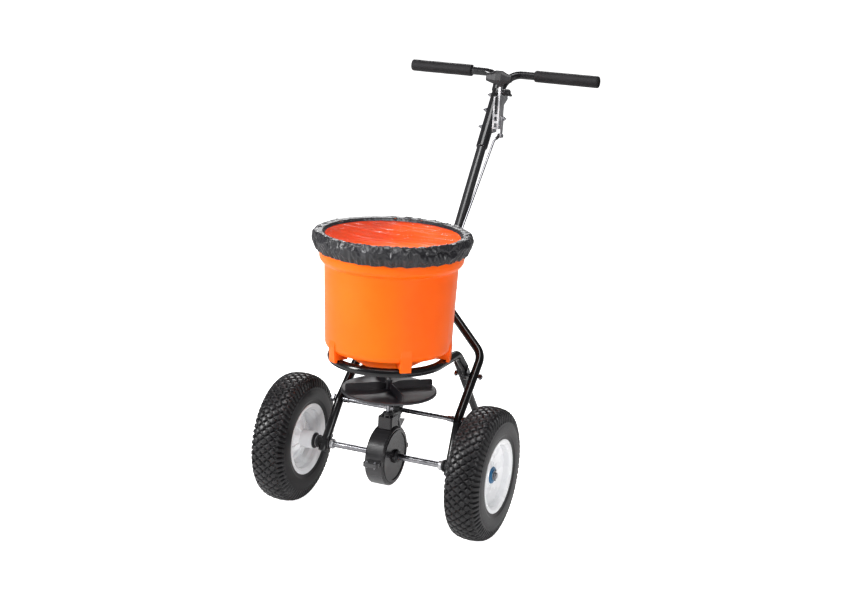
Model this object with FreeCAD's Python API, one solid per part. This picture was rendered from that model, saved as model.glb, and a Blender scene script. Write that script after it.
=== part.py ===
import FreeCAD, Part
import math
import os

V = FreeCAD.Vector
os.makedirs("parts", exist_ok=True)

# ---------------------------------------------------------------- driving dimensions, mm
TYRE_R = 165.0        # 13 inch pneumatic tyre
TYRE_HW = 45.0        # half width of the tyre
TRACK = 260.0         # half of the wheel track
RIM_R = 91.5          # rim flange radius
AXLE_R = 8.0
AXLE_Z = TYRE_R
AXLE_HALF = 296.0
RUN = 0.05            # radial clearance of running fits
LEG_R = 11.1          # main frame tube
LEG_WALL = 1.6
STAND_R = 9.5
RING_R = 11.0         # hopper ring tube
RING_RAD = 137.0      # bend radius of the ring at its centre line
RING_Z = 422.5
HOP_Y = -16.0         # hopper axis, forward of the axle
HOP_TOP = 733.0
HOP_R_TOP = 175.5
HOP_R_BODY = 162.0
HOP_R_LOW = 155.0
HOP_WALL = 3.5
HOP_FLOOR = 404.0
COVER_R = 188.0
COVER_TOP = 737.0
COVER_HEM = 684.0
COL_R = 12.5
STEM_R = 15.5
COL_SLOPE = 0.70      # rearward run per unit of height
GRIP_IN = 92.0
GRIP_OUT = 271.5
GRIP_R = 16.0
BAR_R = 11.0
GRIP_Y = 669.0
GRIP_Z = 1056.0
IMP_R = 118.5
IMP_Z = 335.0
SHAFT_R = 4.75
GEAR_R = 55.0         # pitch radius of the ring gear
GEAR_N = 40
PIN_R = 11.0          # pitch radius of the pinion
PIN_N = 8
BOX_R = 75.0          # gearbox drum
BOX_HW = 25.0
ROSS_Y, ROSS_Z = 61.5, 266.0    # cross rod
BOLT_Y, BOLT_Z = 162.0, 353.0   # bolt that joins leg, ring and stand
PIV_Y, PIV_Z = 583.0, 945.0     # lever pivot
# the frame's origin is under the middle of the whole
Y_SHIFT = -((GRIP_Y + GRIP_R) + (HOP_Y - COVER_R)) / 2.0

nodes = {}


def put(name, *shapes):
    nodes.setdefault(name, []).extend(shapes)


def cyl(a, b, r):
    a, b = V(*a), V(*b)
    d = b - a
    return Part.makeCylinder(r, d.Length, a, d)


def hexa(a, b, af):
    """hexagonal prism from a to b, af across flats"""
    a, b = V(*a), V(*b)
    d = b - a
    n = V(d).normalize()
    u = n.cross(V(0, 0, 1))
    if u.Length < 0.1:
        u = n.cross(V(0, 1, 0))
    u.normalize()
    w = n.cross(u)
    r = af / math.sqrt(3)
    pts = [a + u * (r * math.cos(math.radians(60 * k))) + w * (r * math.sin(math.radians(60 * k))) for k in range(7)]
    return Part.Face(Part.makePolygon(pts)).extrude(d)


def box(x0, x1, y0, y1, z0, z1):
    return Part.makeBox(x1 - x0, y1 - y0, z1 - z0, V(x0, y0, z0))


def mirror(s):
    return s.mirror(V(0, 0, 0), V(1, 0, 0))


def path(pts, radii):
    """straight runs joined by tangent arcs"""
    pts = [V(*q) for q in pts]
    edges, last = [], pts[0]
    for i in range(1, len(pts) - 1):
        a = (pts[i - 1] - pts[i]).normalize()
        b = (pts[i + 1] - pts[i]).normalize()
        half = a.getAngle(b) / 2
        r = radii[i - 1]
        t = r / math.tan(half)
        p0, p1 = pts[i] + a * t, pts[i] + b * t
        c = pts[i] + (a + b).normalize() * (r / math.sin(half))
        m = c + (pts[i] - c).normalize() * r
        edges.append(Part.LineSegment(last, p0).toShape())
        edges.append(Part.Arc(p0, m, p1).toShape())
        last = p1
    edges.append(Part.LineSegment(last, pts[-1]).toShape())
    return Part.Wire(edges)


def sweep(pts, radii, r):
    w = path(pts, radii)
    a, b = V(*pts[0]), V(*pts[1])
    circle = Part.Wire(Part.makeCircle(r, a, b - a))
    return w.makePipeShell([circle], True, True)


def tube(pts, radii, r, wall):
    s = sweep(pts, radii, r)
    return s.cut(sweep(pts, radii, r - wall)) if wall else s


def revolve(profile, at, axis, angle=360):
    """profile: list of (axial, radial) points, or (axial, radial, 'a') middle points of arcs"""
    ax = V(*axis).normalize()
    rad = V(0, 0, 1) if abs(ax.z) < 0.5 else V(1, 0, 0)
    o = V(*at)
    P = [(o + ax * q[0] + rad * q[1], len(q) > 2) for q in profile]
    P.append(P[0])
    edges, i = [], 0
    while i < len(P) - 1:
        if P[i + 1][1]:
            edges.append(Part.Arc(P[i][0], P[i + 1][0], P[i + 2][0]).toShape())
            i += 2
        else:
            edges.append(Part.LineSegment(P[i][0], P[i + 1][0]).toShape())
            i += 1
    return Part.Face(Part.Wire(edges)).revolve(o, ax, angle)


def turned(at, axis, profile):
    return revolve(profile, at, axis)


def col(z, x=0.0):
    """a point on the column's centre line"""
    return (x, 416.5 + COL_SLOPE * (z - 701.0), z)


CDIR = V(0, COL_SLOPE, 1).normalize()

# ---------------------------------------------------------------- axle
axle = cyl((-AXLE_HALF, 0, AXLE_Z), (AXLE_HALF, 0, AXLE_Z), AXLE_R)
for sx in (-1, 1):
    axle = axle.cut(cyl((sx * 292.5, 0, AXLE_Z - 20), (sx * 292.5, 0, AXLE_Z + 20), 1.7))
axle = axle.cut(cyl((214, 0, AXLE_Z - 20), (214, 0, AXLE_Z + 20), 3.02))
axle = axle.cut(cyl((-4, 0, AXLE_Z - 20), (-4, 0, AXLE_Z + 20), 2.02))
e_ends = [e for e in axle.Edges if isinstance(e.Curve, Part.Circle) and abs(e.Curve.Radius - AXLE_R) < 1e-6 and abs(abs(e.BoundBox.Center.x) - AXLE_HALF) < 1e-3]
axle = axle.makeChamfer(1.2, e_ends)
put("axle", axle)

# ---------------------------------------------------------------- wheels
# rim in its own axial coordinate, outward positive: two pressed halves that meet at the middle,
# and a hub tube that is welded to both
rim_outer = [
    (0.0, 70.0), (18.0, 70.0), (22.0, 78.6), (34.0, 79.6), (37.5, 84.0), (38.5, 91.5), (42.0, 91.5),
    (41.0, 83.0), (37.0, 76.7), (29.0, 76.0), (24.0, 75.6), (20.6, 67.5), (19.4, 62.5), (15.5, 50.0), (16.5, 34.0), (20.5, 26.0), (24.0, 23.5), (24.0, 17.5),
    (0.0, 17.5), (0.0, 22.5), (19.0, 22.5), (17.4, 24.6), (13.6, 32.5), (12.5, 50.0), (15.8, 62.0), (17.4, 67.2), (0.0, 67.2),
]
rim_inner = [
    (-0.05, 70.0), (-18.0, 70.0), (-22.0, 78.6), (-34.0, 79.6), (-37.5, 84.0), (-38.5, 91.5), (-42.0, 91.5),
    (-41.0, 83.0), (-37.0, 76.7), (-26.0, 75.8), (-21.0, 66.5), (-6.5, 62.0), (-12.0, 44.0), (-22.0, 30.0), (-26.0, 22.5),
    (-60.0, 22.5), (-60.0, 17.5), (-0.05, 17.5), (-0.05, 22.5), (-22.9, 22.5), (-19.6, 28.6), (-9.4, 42.6), (-3.0, 63.6), (-18.0, 67.2), (-0.05, 67.2),
]


def make_rim(sx):
    at, ax = (sx * TRACK, 0, AXLE_Z), (sx, 0, 0)
    outer = revolve(rim_outer, at, ax)
    inner = revolve(rim_inner, at, ax)
    # stiffening ribs pressed into the inner face
    for k in range(8):
        rib = Part.Face(Part.makePolygon([V(-23.5, 0, 24.0), V(-21.0, 0, 30.0), V(-9.5, 0, 45.0), V(-8.0, 0, 57.0), V(-14.0, 0, 57.0), V(-22.0, 0, 42.0), V(-28.0, 0, 24.0), V(-23.5, 0, 24.0)])).extrude(V(0, 6.0, 0))
        rib.translate(V(0, -3.0, 0))
        rib.rotate(V(0, 0, 0), V(1, 0, 0), 45 * k + 22.5)
        if sx < 0:
            rib = mirror(rib)
        rib.translate(V(sx * TRACK, 0, AXLE_Z))
        inner = inner.fuse(rib)
    # valve hole
    outer = outer.cut(cyl((sx * (TRACK + 5), -60, AXLE_Z), (sx * (TRACK + 33), -60, AXLE_Z), 4.2))
    if sx > 0:
        inner = inner.cut(cyl((214, 0, AXLE_Z - 40), (214, 0, AXLE_Z + 40), 3.02))
    return outer.removeSplitter(), inner.removeSplitter()


tyre_prof = [
    (38.2, 84.6), (41.5, 93.0), (44.5, 108.0), (45.0, 122.0, "a"), (42.0, 140.0), (38.0, 152.0),
    (32.0, 159.5), (0.0, 165.0, "a"), (-32.0, 159.5),
    (-38.0, 152.0), (-42.0, 140.0), (-45.0, 122.0, "a"), (-44.5, 108.0), (-41.5, 93.0), (-38.2, 84.6),
    (-34.0, 80.2), (-23.0, 79.2), (-26.0, 92.0), (-34.0, 118.0, "a"), (-26.0, 148.0), (0.0, 153.0, "a"),
    (26.0, 148.0), (34.0, 118.0, "a"), (26.0, 92.0), (23.0, 79.2), (34.0, 80.2),
]
for sx, side in ((-1, "left"), (1, "right")):
    put("rim_" + side, *make_rim(sx))
    put("tyre_" + side, revolve(tyre_prof, (sx * TRACK, 0, AXLE_Z), (sx, 0, 0)))
    X = sx * TRACK
    # outer bush, flange against the end of the hub
    put("hub_bushes_" + side,
        turned((X, 0, AXLE_Z), (sx, 0, 0), [(4.0, AXLE_R + RUN), (28.0, AXLE_R + RUN), (28.0, 12.0), (27.0, 13.0), (26.5, 20.0), (24.05, 21.0), (24.05, 17.45), (4.0, 17.45)]),
        turned((X, 0, AXLE_Z), (sx, 0, 0), [(-50.5, AXLE_R + RUN), (-64.0, AXLE_R + RUN), (-64.0, 17.0), (-62.5, 20.0), (-60.05, 20.0), (-60.05, 17.45), (-50.5, 17.45)]))
    put("valve_stems_" + side,
        turned((X, -60, AXLE_Z), (sx, 0, 0), [(9.0, 0), (9.0, 6.5), (14.5, 6.5), (14.5, 4.0), (22.5, 4.0), (22.5, 3.2), (30.0, 3.2), (31.0, 2.2), (31.0, 0)]))

# ---------------------------------------------------------------- things on the axle
for sx in (-1, 1):
    put("axle_washers", turned((0, 0, AXLE_Z), (sx, 0, 0), [(191.5, 8.1), (193.5, 8.1), (193.5, 15.0), (191.5, 15.0)]),
        turned((0, 0, AXLE_Z), (sx, 0, 0), [(288.3, 8.1), (289.8, 8.1), (289.8, 11.5), (288.3, 11.5)]))
    pin = cyl((sx * 292.5, 0, AXLE_Z - 13), (sx * 292.5, 0, AXLE_Z + 11), 1.6)
    eye = Part.makeTorus(2.8, 1.2, V(sx * 292.5, 0, AXLE_Z + 12.6), V(1, 0, 0))
    put("cotter_pins", pin.fuse(eye))
    put("axle_collars", turned((0, 0, AXLE_Z), (sx, 0, 0), [(145.0, 8.02), (154.0, 8.02), (154.0, 12.0), (153.0, 13.0), (146.0, 13.0), (145.0, 12.0)]))
put("axle_pins", cyl((214, 0, AXLE_Z - 27), (214, 0, AXLE_Z + 27), 3.0).fuse(cyl((214, 0, AXLE_Z + 27), (214, 0, AXLE_Z + 30), 5.0)))

# ---------------------------------------------------------------- main legs
A0 = (172.6, -9.0, 147.5)
K = (163.0, 63.0, 270.0)
B = (160.0, 206.0, 398.0)
Cc = col(499.5, 24.1)
Dd = col(546.0, 24.1)
leg_pts = [A0, K, B, Cc, Dd]
leg_rad = [90.0, 55.0, 45.0]
leg = tube(leg_pts, leg_rad, LEG_R, LEG_WALL)
leg_holes = [
    cyl((140, 0, AXLE_Z), (200, 0, AXLE_Z), 11.05),
    cyl((140, ROSS_Y, ROSS_Z), (190, ROSS_Y, ROSS_Z), 6.1),
    cyl((140, BOLT_Y, BOLT_Z), (190, BOLT_Y, BOLT_Z), 4.1),
]
for h in leg_holes:
    leg = leg.cut(h)
LAP = (508.0, 536.0)
for z in LAP:
    c0 = col(z, 10)
    c1 = col(z, 45)
    leg = leg.cut(cyl(c0, c1, 4.1))
put("frame_leg_right", leg)
put("frame_leg_left", mirror(leg))
d_low = (V(*A0) - V(*K)).normalize()
plug = Part.makeCylinder(LEG_R - LEG_WALL - 0.02, 10, V(*A0) - d_low * 10, d_low).fuse(Part.makeCylinder(LEG_R, 2.5, V(*A0) + d_low * 0.02, d_low))
d_up = (V(*Dd) - V(*Cc)).normalize()
plug2 = Part.makeCylinder(LEG_R - LEG_WALL - 0.02, 8, V(*Dd) - d_up * 8, d_up).fuse(Part.makeCylinder(LEG_R, 2.0, V(*Dd) + d_up * 0.02, d_up))
plug = plug.cut(leg_holes[0])
for q in (plug, plug2):
    put("tube_plugs", q, mirror(q))
# axle bush in each leg
bush = turned((0, 0, AXLE_Z), (1, 0, 0), [(155.5, AXLE_R + RUN), (190.0, AXLE_R + RUN), (190.0, 11.0), (159.0, 11.0), (159.0, 15.5), (156.5, 15.5), (155.5, 14.5)])
ring_out = turned((0, 0, AXLE_Z), (1, 0, 0), [(185.6, 11.05), (189.6, 11.05), (189.6, 16.0), (185.6, 16.0)])
put("leg_bushes", bush, mirror(bush), ring_out, mirror(ring_out))

# ---------------------------------------------------------------- cross rod
rod = cyl((-186, ROSS_Y, ROSS_Z), (186, ROSS_Y, ROSS_Z), 6.0)
put("cross_rod", rod)
for sx in (-1, 1):
    put("cross_rod_nuts",
        turned((0, ROSS_Y, ROSS_Z), (sx, 0, 0), [(136.0, 6.05), (149.6, 6.05), (149.6, 9.0), (147.0, 9.0), (147.0, 8.0), (137.0, 8.0), (136.0, 7.4)]),
        hexa((sx * 177.0, ROSS_Y, ROSS_Z), (sx * 184.0, ROSS_Y, ROSS_Z), 18.0).cut(cyl((sx * 170, ROSS_Y, ROSS_Z), (sx * 190, ROSS_Y, ROSS_Z), 6.05)))

# ---------------------------------------------------------------- hopper ring
rp_y = HOP_Y
c_ring = Part.Arc(V(RING_RAD, rp_y, RING_Z), V(0, rp_y - RING_RAD, RING_Z), V(-RING_RAD, rp_y, RING_Z)).toShape()


def arm_pts(sx):
    return [(sx * RING_RAD, rp_y, RING_Z), (sx * RING_RAD, 98.0, RING_Z), (sx * 139.0, 144.0, 378.0)]


def ring_sweep(r):
    half = []
    w1 = path(arm_pts(1), [38.0])
    w2 = path(arm_pts(-1), [38.0])
    e1 = list(w1.Edges)
    e2 = list(w2.Edges)
    a1 = w1.makePipeShell([Part.Wire(Part.makeCircle(r, V(RING_RAD, rp_y, RING_Z), V(0, 1, 0)))], True, True)
    a2 = w2.makePipeShell([Part.Wire(Part.makeCircle(r, V(-RING_RAD, rp_y, RING_Z), V(0, 1, 0)))], True, True)
    tor = Part.makeTorus(RING_RAD, r, V(0, rp_y, RING_Z), V(0, 0, 1))
    tor = tor.common(box(-200, 200, rp_y - 200, rp_y, RING_Z - 40, RING_Z + 40))
    return tor.fuse(a1).fuse(a2).removeSplitter()


def stadium(centre, axis, along, r, length, thick):
    """flat bar with a round end at centre, running back along `along`"""
    n = V(*axis).normalize()
    u = V(*along).normalize()
    w = n.cross(u)
    c = V(*centre)
    o = c - n * (thick / 2)
    p = [o + w * r, o + w * r + u * length, o - w * r + u * length, o - w * r]
    e = [Part.LineSegment(p[0], p[1]).toShape(), Part.LineSegment(p[1], p[2]).toShape(),
         Part.LineSegment(p[2], p[3]).toShape(), Part.Arc(p[3], o - u * r, p[0]).toShape()]
    return Part.Face(Part.Wire(e)).extrude(n * thick)


ring = ring_sweep(RING_R)
ring_in = ring_sweep(RING_R - 1.6)
ring = ring.cut(ring_in)
for sx in (-1, 1):
    end = V(sx * 139.0, 144.0, 378.0)
    dirn = (end - V(sx * RING_RAD, 98.0, RING_Z)).normalize()
    tipc = V(sx * 139.4, BOLT_Y, BOLT_Z)
    back = (V(end.x, end.y, end.z) - tipc).normalize()
    c0 = Part.Wire(Part.makeCircle(RING_R, end, dirn))
    # squashed section
    n = V(1, 0, 0)
    w = dirn.cross(n).normalize()
    mid = end + (tipc - end) * 0.62
    el = Part.Ellipse(mid + w * 14.0, mid + n * 5.0, mid)
    c1 = Part.Wire(el.toShape())
    try:
        taper = Part.makeLoft([c0, c1], True, False)
    except Exception:
        taper = Part.makeCylinder(5, 5, mid)
    lug = stadium((tipc.x, tipc.y, tipc.z), (1, 0, 0), (back.x, back.y, back.z), 13.0, (mid - tipc).Length + 0.5, 10.0)
    ring = ring.fuse(taper).fuse(lug)
for sx in (-1, 1):
    ring = ring.cut(cyl((sx * 128, BOLT_Y, BOLT_Z), (sx * 150, BOLT_Y, BOLT_Z), 4.1))
put("hopper_ring", ring.removeSplitter())

# ---------------------------------------------------------------- stand legs and feet
S_TOP = (122.5, 141.0, 387.0)
S_KNEE = (130.0, 352.0, 124.0)
S_FOOT = (130.0, 356.0, 3.0)
# through the bolt: same slope as from the top to the knee
stand_pts = [S_TOP, S_KNEE, S_FOOT]
stand = tube(stand_pts, [60.0], STAND_R, 1.5)
stand = stand.cut(cyl((100, BOLT_Y, BOLT_Z), (135, BOLT_Y, BOLT_Z), 4.1))
foot = Part.makeBox(34, 50, 3.0, V(113, 331, 0))
foot = foot.makeFillet(8.0, [e for e in foot.Edges if abs(e.BoundBox.ZLength - 3.0) < 1e-6])
sock = Part.makeCylinder(STAND_R - 1.52, 12, V(130, 356.0, 3.0), V(0, 0, 1))
foot = foot.fuse(sock)
put("stand_foot_right", foot)
put("stand_foot_left", mirror(foot))
# small gusset at the knee of the stand
g = Part.Face(Part.makePolygon([V(130, 344, 138), V(130, 402, 120), V(130, 357, 92), V(130, 344, 138)])).extrude(V(3, 0, 0))
g.translate(V(-1.5, 0, 0))
g = g.cut(sweep(stand_pts, [60.0], STAND_R - 0.5))
g = max(g.Solids, key=lambda s: s.Volume)
stand = stand.fuse(g).removeSplitter()
put("stand_leg_right", stand)
put("stand_leg_left", mirror(stand))
sp_dir = (V(*S_TOP) - V(*S_KNEE)).normalize()
pl = Part.makeCylinder(STAND_R - 1.52, 8, V(*S_TOP) - sp_dir * 8, sp_dir).fuse(Part.makeCylinder(STAND_R, 2.0, V(*S_TOP) + sp_dir * 0.02, sp_dir))
put("tube_plugs", pl, mirror(pl))


def bolt(a, b, r, head_af, head_h, nut_af, nut_h, acorn=False):
    """hex bolt from a (head side) to b, the nut's face at b"""
    a, b = V(*a), V(*b)
    d = V(b - a).normalize()
    s = hexa(tuple(a - d * head_h), tuple(a), head_af)
    sh = Part.makeCylinder(r, (b - a).Length + nut_h + (0 if acorn else 2.5), a - d * 0.5, d)
    n = hexa(tuple(b), tuple(b + d * nut_h), nut_af)
    out = s.fuse(sh).fuse(n)
    if acorn:
        cone = Part.makeCone(nut_af * 0.42, nut_af * 0.12, nut_h * 1.1, b + d * nut_h, d)
        out = out.fuse(cone)
    return out


fb = bolt((113.2, BOLT_Y, BOLT_Z), (173.8, BOLT_Y, BOLT_Z), 4.0, 13.0, 5.0, 13.0, 6.5)
put("frame_bolts", fb, mirror(fb))
for z in LAP:
    y = col(z)[1]
    put("frame_bolts", bolt((-35.4, y, z), (35.4, y, z), 4.0, 13.0, 5.0, 13.0, 6.5))

# ---------------------------------------------------------------- handle column and stem
C_LOW = col(484.0)
C_HIGH = col(985.0)
column = cyl(C_LOW, C_HIGH, COL_R).cut(cyl(col(480.0), col(990.0), COL_R - 1.5))
for z in LAP:
    y = col(z)[1]
    column = column.cut(cyl((-20, y, z), (20, y, z), 4.1))
STEM_LOW, STEM_HIGH = 868.0, 1012.0
stem = cyl(col(STEM_LOW), col(STEM_HIGH), STEM_R)
es = [e for e in stem.Edges if isinstance(e.Curve, Part.Circle) and e.BoundBox.Center.z < 900]
stem = stem.makeFillet(3.0, es)
stem = stem.cut(cyl(col(STEM_LOW - 10), col(988.0), COL_R + 0.03))
STEM_BOLTS = (1000.0, 962.0, 920.0)
for z in STEM_BOLTS:
    y = col(z)[1]
    stem = stem.cut(cyl((-20, y, z), (20, y, z), 3.1))
    column = column.cut(cyl((-20, y, z), (20, y, z), 3.1))
put("handle_column", column)
put("handle_stem", stem)

# handlebars, welded to the top of the stem
TOPX = 7.5
s0 = col(STEM_HIGH, TOPX)
bar_pts = [s0, (TOPX + 3, GRIP_Y, GRIP_Z), (268.0, GRIP_Y, GRIP_Z)]
bar = tube(bar_pts, [46.0], BAR_R, 1.6)
bar = bar.cut(box(-40, 0.0, 500, 800, 900, 1200))
put("handlebar_right", bar)
put("handlebar_left", mirror(bar))
grip = turned((0, GRIP_Y, GRIP_Z), (1, 0, 0), [
    (GRIP_IN, BAR_R + 0.02), (268.1, BAR_R + 0.02), (268.1, 0.0), (GRIP_OUT, 0.0), (GRIP_OUT, 14.5), (GRIP_OUT - 1.5, GRIP_R), (GRIP_IN + 1.5, GRIP_R), (GRIP_IN, 14.5)])
put("grip_right", grip)
put("grip_left", mirror(grip))

# ---------------------------------------------------------------- gauge bracket, lever, lock knob
CH_X0, CH_X1 = 15.7, 33.7
LX0, LX1 = 21.7, 27.7            # lever bar, between the channel's flanges
LOCK_RAD, LOCK_A = 70.0, 5.0     # lock bolt: distance from the pivot, angle behind upright
web = Part.makeBox(CH_X1 - CH_X0, 2.0, 86.0, V(CH_X0, 562.0, 918.0))
fl_in = Part.makeBox(2.0, 30.0, 98.0, V(CH_X0, 562.0, 906.0))


def on_arc(rad, deg):
    a = math.radians(deg)
    return (PIV_Y + rad * math.sin(a), PIV_Z + rad * math.cos(a))


def arc_band(x0, x1, r0, r1, d0, d1):
    P = [V(x0, *on_arc(r1, d0)), V(x0, *on_arc(r1, (d0 + d1) / 2)), V(x0, *on_arc(r1, d1)),
         V(x0, *on_arc(r0, d1)), V(x0, *on_arc(r0, (d0 + d1) / 2)), V(x0, *on_arc(r0, d0))]
    e = [Part.Arc(P[0], P[1], P[2]).toShape(), Part.LineSegment(P[2], P[3]).toShape(),
         Part.Arc(P[3], P[4], P[5]).toShape(), Part.LineSegment(P[5], P[0]).toShape()]
    return Part.Face(Part.Wire(e)).extrude(V(x1 - x0, 0, 0))


q = Part.Face(Part.makePolygon([V(CH_X1 - 2, y, z) for y, z in
                                ((562, 918), (592, 918), (596, 980), (622, 994), (616, 1008), (590, 1012), (562, 1008), (562, 918))])).extrude(V(2, 0, 0))
q = q.fuse(arc_band(CH_X1 - 2, CH_X1, LOCK_RAD - 8.0, LOCK_RAD + 7.0, -14.0, 34.0))
chan = web.fuse(fl_in).fuse(q)
# slots in the web, and the lever's way through it for its forward lean
for z0 in (923, 940):
    chan = chan.cut(box(21.0, 28.4, 556, 568, z0, z0 + 11))
chan = chan.cut(box(LX0 - 1.5, LX1 + 1.5, 556, 568, 958, 1014))
# arc slot for the lock bolt, centred on the pivot
chan = chan.cut(arc_band(CH_X1 - 5, CH_X1 + 5, LOCK_RAD - 3.3, LOCK_RAD + 3.3, -11.0, 31.0))
pivot_hole = cyl((10, PIV_Y, PIV_Z), (50, PIV_Y, PIV_Z), 3.05)
chan = chan.cut(pivot_hole)
y0 = col(920.0)[1]
chan = chan.cut(cyl((10, y0, 920.0), (22, y0, 920.0), 3.1))
put("gauge_bracket", chan.removeSplitter())

ly, lz = on_arc(LOCK_RAD, LOCK_A)
lever = Part.Face(Part.makePolygon([V(LX0, PIV_Y + y, PIV_Z + z) for y, z in
                                    ((-7, -11), (7, -11), (9, 0), (7.5, 30), (13, 62), (14, 74), (8, 92), (-3, 92), (-5, 60), (-7, 30), (-9, 0), (-7, -11))])).extrude(V(LX1 - LX0, 0, 0))
lever = lever.fuse(cyl((18.4, PIV_Y, PIV_Z), (31.4, PIV_Y, PIV_Z), 6.5)).cut(pivot_hole)
lever = lever.cut(cyl((10, ly, lz), (50, ly, lz), 3.0))
put("lever", lever)
R_Y, R_Z = 580.0, 899.0
AX0, AX1 = 34.1, 37.1            # lower arm, outside the channel
arm = Part.Face(Part.makePolygon([V(AX0, y, z) for y, z in
                                  ((576, 952), (590, 952), (591, 940), (586, 893), (574, 893), (574, 905), (575, 940), (576, 952))])).extrude(V(AX1 - AX0, 0, 0))
arm = arm.cut(cyl((30, PIV_Y, PIV_Z), (50, PIV_Y, PIV_Z), 3.0)).cut(cyl((30, R_Y, R_Z), (50, R_Y, R_Z), 3.05))
put("lever_arm", arm)
pb = cyl((CH_X0 + 0.1, PIV_Y, PIV_Z), (41.5, PIV_Y, PIV_Z), 3.0)
pb = pb.fuse(hexa((AX1 + 0.02, PIV_Y, PIV_Z), (AX1 + 5.0, PIV_Y, PIV_Z), 10.0)).fuse(Part.makeCone(4.0, 1.4, 5.0, V(AX1 + 5.0, PIV_Y, PIV_Z), V(1, 0, 0)))
put("lever_pivot", pb)
# T grip
GX, GY = -7.0, 583.5
sec = [(-9, 1036), (-11, 1047), (-8, 1064), (-2, 1072), (4, 1072), (9, 1062), (10, 1047), (8, 1036)]


def tsec(x, k, dz):
    zc = 1052.0
    P = [V(x + GX, GY + y * k, zc + dz + (z - zc) * k) for y, z in sec]
    return Part.makePolygon(P + [P[0]])


tgrip = Part.makeLoft([tsec(-9.5, 0.55, 0.0), tsec(4.0, 0.74, -1.0), tsec(17.0, 1.0, 0.0), tsec(35.0, 1.0, 0.0), tsec(48.0, 0.74, -1.0), tsec(62.5, 0.55, 0.0)], True, True)
socket = Part.Face(Part.makePolygon([V(LX0 - 3.5, GY - 8, 1030), V(LX1 + 3.5, GY - 8, 1030), V(LX1 + 5, GY - 9, 1044), V(LX0 - 5, GY - 9, 1044), V(LX0 - 3.5, GY - 8, 1030)])).extrude(V(0, 17, 0))
tgrip = tgrip.fuse(socket).cut(lever)
put("lever_grip", max(tgrip.Solids, key=lambda t: t.Volume))

# lock bolt on the lever, through the arc slot, with a wing knob outside
put("lock_bolt", cyl((LX0 - 3.0, ly, lz), (47.0, ly, lz), 2.95).fuse(hexa((LX0 - 3.0, ly, lz), (LX0 - 0.02, ly, lz), 9.0)))
knob = turned((0, ly, lz), (1, 0, 0), [(34.2, 3.0), (51.0, 3.0), (51.0, 7.0), (49.0, 8.0), (41.0, 8.0), (37.0, 9.0), (34.2, 9.0)])
for t in (-1, 1):
    wing = Part.Face(Part.makePolygon([V(39, 0, t * 6.0), V(51, 0, t * 6.0), V(54, 0, t * 13.5), V(49.5, 0, t * 16.0), V(42, 0, t * 14.0), V(39, 0, t * 6.0)])).extrude(V(0, 4.4, 0))
    wing.translate(V(0, -2.2, 0))
    wing.rotate(V(0, 0, 0), V(1, 0, 0), 52)
    wing.translate(V(0, ly, lz))
    knob = knob.fuse(wing)
knob = knob.cut(cyl((30, ly, lz), (60, ly, lz), 3.0))
put("lock_knob", knob)

# ---------------------------------------------------------------- control rod
L_X, L_Y, L_Z = 10.5, 139.0, 397.0
EY0 = 28.4                        # eye of the rod, inside the lower arm
eye = cyl((EY0, R_Y, R_Z), (33.8, R_Y, R_Z), 6.2)
T1 = (31.0, R_Y, R_Z)
T2 = (22.5, 564.5, 885.5)
ddir = (V(*T2) - V(*T1)).normalize()
sleeve = Part.makeCylinder(4.2, 13.0, V(*T1), ddir)
rod_end = eye.fuse(sleeve).cut(cyl((20, R_Y, R_Z), (28.38, R_Y, R_Z), 4.8)).cut(cyl((20, R_Y, R_Z), (60, R_Y, R_Z), 3.05)).common(box(0, 33.8, 500, 620, 850, 950))
put("rod_end", max(rod_end.Solids, key=lambda t: t.Volume))
main = sweep([T1, T2, (L_X, L_Y, L_Z), (L_X - 16.5, L_Y, L_Z)], [18.0, 7.0], 3.0)
main = main.cut(eye.fuse(sleeve))
main = max(main.Solids, key=lambda t: t.Volume)
put("control_rod", main)
pinr = cyl((27.6, R_Y, R_Z), (41.0, R_Y, R_Z), 2.98).fuse(cyl((26.8, R_Y, R_Z), (28.3, R_Y, R_Z), 4.6)).fuse(hexa((AX1 + 0.05, R_Y, R_Z), (AX1 + 4.0, R_Y, R_Z), 9.0))
put("rod_pin", pinr)

# ---------------------------------------------------------------- stem bolts
for z in STEM_BOLTS:
    y = col(z)[1]
    x1 = 17.8 if z == 920.0 else 15.8
    put("stem_bolts", bolt((x1, y, z), (-15.8, y, z), 3.0, 10.0, 3.5, 10.0, 5.0, True))

# ---------------------------------------------------------------- hopper
hp_out = [
    (HOP_FLOOR, 0.0), (HOP_FLOOR, 58.0), (440.0, 118.0), (447.0, 138.0), (451.5, 149.5, "a"), (463.0, 155.0),
    (653.0, HOP_R_BODY), (657.0, 163.0), (662.0, 169.5, "a"), (670.0, 174.4), (679.0, HOP_R_TOP), (HOP_TOP - 4.0, HOP_R_TOP), (HOP_TOP - 1.2, 174.6, "a"), (HOP_TOP, 172.0),
]
w = HOP_WALL
hp_in = [
    (HOP_TOP, 170.6), (HOP_TOP - 4.0, 171.6), (680.0, 171.6), (674.0, 170.8), (665.0, 166.0, "a"), (657.5, HOP_R_BODY - w + 0.6), (651.0, HOP_R_BODY - w),
    (464.0, 155.0 - w), (454.5, 146.5, "a"), (450.5, 136.0), (443.5, 117.0), (HOP_FLOOR + w, 56.5), (HOP_FLOOR + w, 0.0),
]
hopper = revolve(hp_out + hp_in, (0, HOP_Y, 0), (0, 0, 1))
ring_fat = ring_sweep(RING_R + 0.25)
feet = []
FOOT_ANG = (-125.0, -49.0, 13.0, 167.0)
for a in FOOT_ANG:
    blk = Part.makeBox(38.0, 27.0, 58.0, V(119.0, -13.5, 427.0))
    blk.rotate(V(0, 0, 0), V(0, 0, 1), a)
    blk.translate(V(0, HOP_Y, 0))
    feet.append(blk)
foot_env = revolve([(427.0, 120.0), (427.0, 155.0), (463.0, 157.5), (480.0, 155.6), (480.0, 150.0), (450.0, 120.0)], (0, HOP_Y, 0), (0, 0, 1))
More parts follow.
